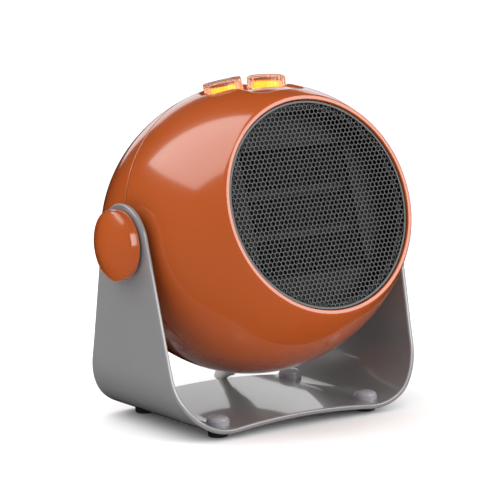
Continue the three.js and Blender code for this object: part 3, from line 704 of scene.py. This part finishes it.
# ---------------------------------------------------------------- stand: one bent strap with rounded edges
T, BEND_R, BCX, BCZ = 3.5, 42.14, 60.1, 46.1
ARCH_H, ARCH_TOP, ARCH_HALF, LEAN, TOP_R = 3.9, 10.9, 62.0, rad(2.35), 27.4
r_mid = BEND_R - T / 2
arch_r = ARCH_HALF ** 2 / (2 * ARCH_H)
arch_cz = ARCH_TOP - arch_r
th_end = math.atan2(BCX, BCZ - arch_cz)
mid = []
for i in range(0, 25):
    a = th_end * i / 24
    r = arch_r - T / 2
    mid.append((r * math.sin(a), arch_cz + r * math.cos(a), -math.sin(a), -math.cos(a)))
b0, b1 = math.atan2(-(BCZ - arch_cz), -BCX), -LEAN
for i in range(1, 41):
    a = b0 + (b1 - b0) * i / 40
    mid.append((BCX + r_mid * math.cos(a), BCZ + r_mid * math.sin(a), math.cos(a), math.sin(a)))
last = mid[-1]
top_len = (BALL_Z + TOP_R - last[1]) / math.cos(LEAN)
side_pts = [(-5, 60.0), (6, 60.8), (13.1, 59.8), (22, 56.2), (32.7, 52.0), (47, 47.8), (62.4, 43.9), (BALL_Z + TOP_R * math.sin(rad(13.5)), TOP_R * math.cos(rad(13.5)))]
sc = smooth_curve([(0, h, z) for z, h in side_pts[:-1]], 1.0)
sz, sh = sc[:, 2], sc[:, 1]


def half_depth(z):
    z0 = side_pts[-1][0]
    if z >= z0:
        return math.sqrt(max(0.0, TOP_R ** 2 - (z - BALL_Z) ** 2))
    if z > 62.4:
        return 43.9 + (side_pts[-1][1] - 43.9) * (z - 62.4) / (z0 - 62.4)
    return float(np.interp(z, sz, sh))


dist = []
zz = last[1]
z0 = side_pts[-1][0]
for z in np.linspace(zz, z0, 46)[1:]:
    dist.append((z - last[1]) / math.cos(LEAN))
for i in range(1, 41):
    a = rad(13.5) + (math.pi / 2 - rad(13.5)) * i / 40
    dist.append((BALL_Z + TOP_R * math.sin(a) - last[1]) / math.cos(LEAN))
for d in dist:
    mid.append((last[0] + math.sin(LEAN) * d, last[1] + math.cos(LEAN) * d, last[2], last[3]))
full = [(-x, z, -nx, nz) for x, z, nx, nz in mid[1:][::-1]] + mid
P = np.array(full)
s_len = np.concatenate([[0], np.cumsum(np.hypot(np.diff(P[:, 0]), np.diff(P[:, 1])))])
hd = np.array([half_depth(z) for z in P[:, 1]])
hd[0] = hd[-1] = 0.0
upper = np.stack([s_len, hd], 1)                 # outline of the flat blank: s along the strap, half depth


def offset_outline(d):
    """The outline moved inward by d; station i stays paired with its mirror."""
    if d == 0:
        return upper.copy()
    tang = np.gradient(upper, axis=0)
    tang[0], tang[-1] = np.array([0, 1.0]), np.array([0, -1.0])
    tang /= np.linalg.norm(tang, axis=1)[:, None]
    nrm = np.stack([tang[:, 1], -tang[:, 0]], 1)     # points inward, to smaller depth
    out = upper + nrm * d
    out[:, 1] = np.maximum(out[:, 1], 0)
    return out


ER = 1.25
rings = []
for k in range(0, 7):
    f = math.pi / 2 * k / 6
    rings.append((ER * (1 - math.cos(f)), T / 2 - ER + ER * math.sin(f)))     # inward distance, height
loops = [(d, h) for d, h in rings]


def place(s, y, h):
    x = np.interp(s, s_len, P[:, 0])
    z = np.interp(s, s_len, P[:, 1])
    nx = np.interp(s, s_len, P[:, 2])
    nz = np.interp(s, s_len, P[:, 3])
    q = np.hypot(nx, nz)
    return np.stack([x + nx / q * h, y, z + nz / q * h], 1)


verts, index = [], {}
N = len(upper)
levels = [(d, -h) for d, h in rings[::-1]] + [(d, h) for d, h in rings]
for li, (d, h) in enumerate(levels):
    o_ = offset_outline(d)
    for sgn in (1, -1):
        pts = place(o_[:, 0], o_[:, 1] * sgn, h)
        index[li, sgn] = list(range(len(verts), len(verts) + N))
        verts += pts.tolist()
faces = []
for li in range(len(levels) - 1):
    for sgn in (1, -1):
        A, B = index[li, sgn], index[li + 1, sgn]
        for i in range(N - 1):
            faces.append((A[i], A[i + 1], B[i + 1], B[i]))
for li in (0, len(levels) - 1):
    A, B = index[li, 1], index[li, -1]
    for i in range(N - 1):
        faces.append((A[i], A[i + 1], B[i + 1], B[i]))
stand = mesh_object("bent_strap_stand", verts, faces, matrix=STAND)
bm = bmesh.new()
bm.from_mesh(stand.data)
bmesh.ops.remove_doubles(bm, verts=bm.verts, dist=2e-6)
bmesh.ops.dissolve_degenerate(bm, dist=1e-6, edges=bm.edges)
bmesh.ops.recalc_face_normals(bm, faces=bm.faces)
bm.to_mesh(stand.data)
bm.free()
stand.data.polygons.foreach_set("use_smooth", [True] * len(stand.data.polygons))
wn = stand.modifiers.new("n", "WEIGHTED_NORMAL")
wn.keep_sharp = True
paint(stand, GREY)
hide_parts("stand_bracket")
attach(stand, "stand")

# ---------------------------------------------------------------- feet and caps
for where, fx, fy in (("front_left", -1, -1), ("front_right", 1, -1), ("rear_left", -1, 1), ("rear_right", 1, 1)):
    M = Matrix.Translation((fx * 62, fy * 45 + BALL_Y, 0))
    prof = [(8.0, 7.0), (8.0, 11.0)]
    for i in range(0, 19):
        a = math.pi / 2 * i / 18
        prof.append((7.55 * math.cos(a) ** 0.9 if i < 18 else 0.0, 11.3 + (14.3 - 11.3) * math.sin(a)))
    prof += [(0, 7.0)]
    c = lathe("cap_" + where, prof, "Z", 96, M, deg=45)
    paint(c, CAPS)
    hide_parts("foot_cap_" + where)
    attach(c, "stand")
    prof = rounded([(0, 0), (6.8, 0), (6.8, 3.6), (2.2, 3.6), (2.2, 10.2), (0, 10.2)], [0, 1.1, 0.4, 0, 0, 0], 6)
    f = lathe("foot_" + where, prof, "Z", 96, M, closed=False, deg=45)
    paint(f, FOOT)
    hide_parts("rubber_foot_" + where)
    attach(f, "stand")

# ---------------------------------------------------------------- gland
prof = [(3.3, 1.0), (8.9, 1.0)] + [tuple(p) for p in smooth_curve([(8.9, 6, 0), (8.7, 12, 0), (8.1, 15.5, 0), (6.9, 19.5, 0), (5.4, 24, 0), (4.7, 29, 0)], 0.8)[:, :2]] + [(4.4, 29.8), (3.3, 30.0)]
q = Vector((0, 0, 1)).rotation_difference(Vector(gd)).to_matrix().to_4x4()
gl = lathe("ribbed_cord_gland", prof, "Z", 64, Matrix.Translation((11.2, 26.3 + BALL_Y, 36.8)) @ q, deg=40)
paint(gl, CORD)
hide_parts("cord_gland")
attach(gl, "head")

# ---------------------------------------------------------------- CAD pieces that stay
KEEP = {
    "grille_clamp_ring": BLACK, "front_baffle": BLACK, "heater_duct": BLACK, "fan_shroud": BLACK, "motor_bracket": BLACK, "fan_impeller": BLACK,
    "ceramic_bar_1": SHADED_CERAMIC, "ceramic_bar_2": SHADED_CERAMIC, "element_holder_left": HOLDER, "element_holder_right": HOLDER, "thermal_cutout": HOLDER,
    "terminal_block": HOLDER, "fan_motor": STEEL, "motor_shaft": STEEL, "shell_screw_1": STEEL, "shell_screw_2": STEEL,
    "selector_spindle": STEEL, "thermostat_spindle": STEEL, "selector_body": HOLDER, "thermostat_body": HOLDER,
    "plug_pin_left": BRASS, "plug_pin_right": BRASS,
}
for side in ("left", "right"):
    KEEP[side + "_clamp_stud"] = STEEL
    KEEP[side + "_pivot_plate"] = BLACK
    KEEP[side + "_friction_washer"] = FOOT
for n, m in KEEP.items():
    paint(nodes[n], m)

# ---------------------------------------------------------------- stage and light
floor_m = make("floor_white", (0.9, 0.9, 0.9), 0.55, 0.0, 0.01, 1.5, 0.02, Specular_IOR_Level=0.0)
me = bpy.data.meshes.new("floor")
me.from_pydata([(-40, -40, 0), (40, -40, 0), (40, 40, 0), (-40, 40, 0)], [], [(0, 1, 2, 3)])
floor = bpy.data.objects.new("floor", me)
floor.visible_glossy = False
bpy.context.scene.collection.objects.link(floor)
paint(floor, floor_m)

world = bpy.data.worlds.new("world")
bpy.context.scene.world = world
world.use_nodes = True
bg = world.node_tree.nodes["Background"]
bg.inputs["Color"].default_value = (1, 1, 1, 1)
bg.inputs["Strength"].default_value = 1.15
world.cycles_visibility.glossy = False


def area(name, az, el, dist_, size, power, target=(0, -0.006, 0.12), size_y=None, color=(1, 1, 1)):
    L = bpy.data.lights.new(name, "AREA")
    L.shape = "RECTANGLE"
    L.size, L.size_y = size, size_y or size
    L.energy = power
    L.color = color
    o = bpy.data.objects.new(name, L)
    a, e = rad(az), rad(el)
    b = Vector((math.sin(a) * math.cos(e), -math.cos(a) * math.cos(e), math.sin(e)))
    o.location = Vector(target) + b * dist_
    o.rotation_mode = "QUATERNION"
    o.rotation_quaternion = (-b).to_track_quat("-Z", "Y")
    o.visible_camera = False
    bpy.context.scene.collection.objects.link(o)
    return o


area("key_upper_left", AZ - 96, 50, 1.5, 1.3, 13)
area("side_right", AZ + 62, 20, 1.5, 0.9, 11)
area("top", AZ + 20, 74, 1.7, 0.9, 2)
area("low_back", AZ + 178, 13, 1.8, 1.8, 3.2, size_y=0.6)
bpy.context.scene.view_settings.view_transform = "Standard"
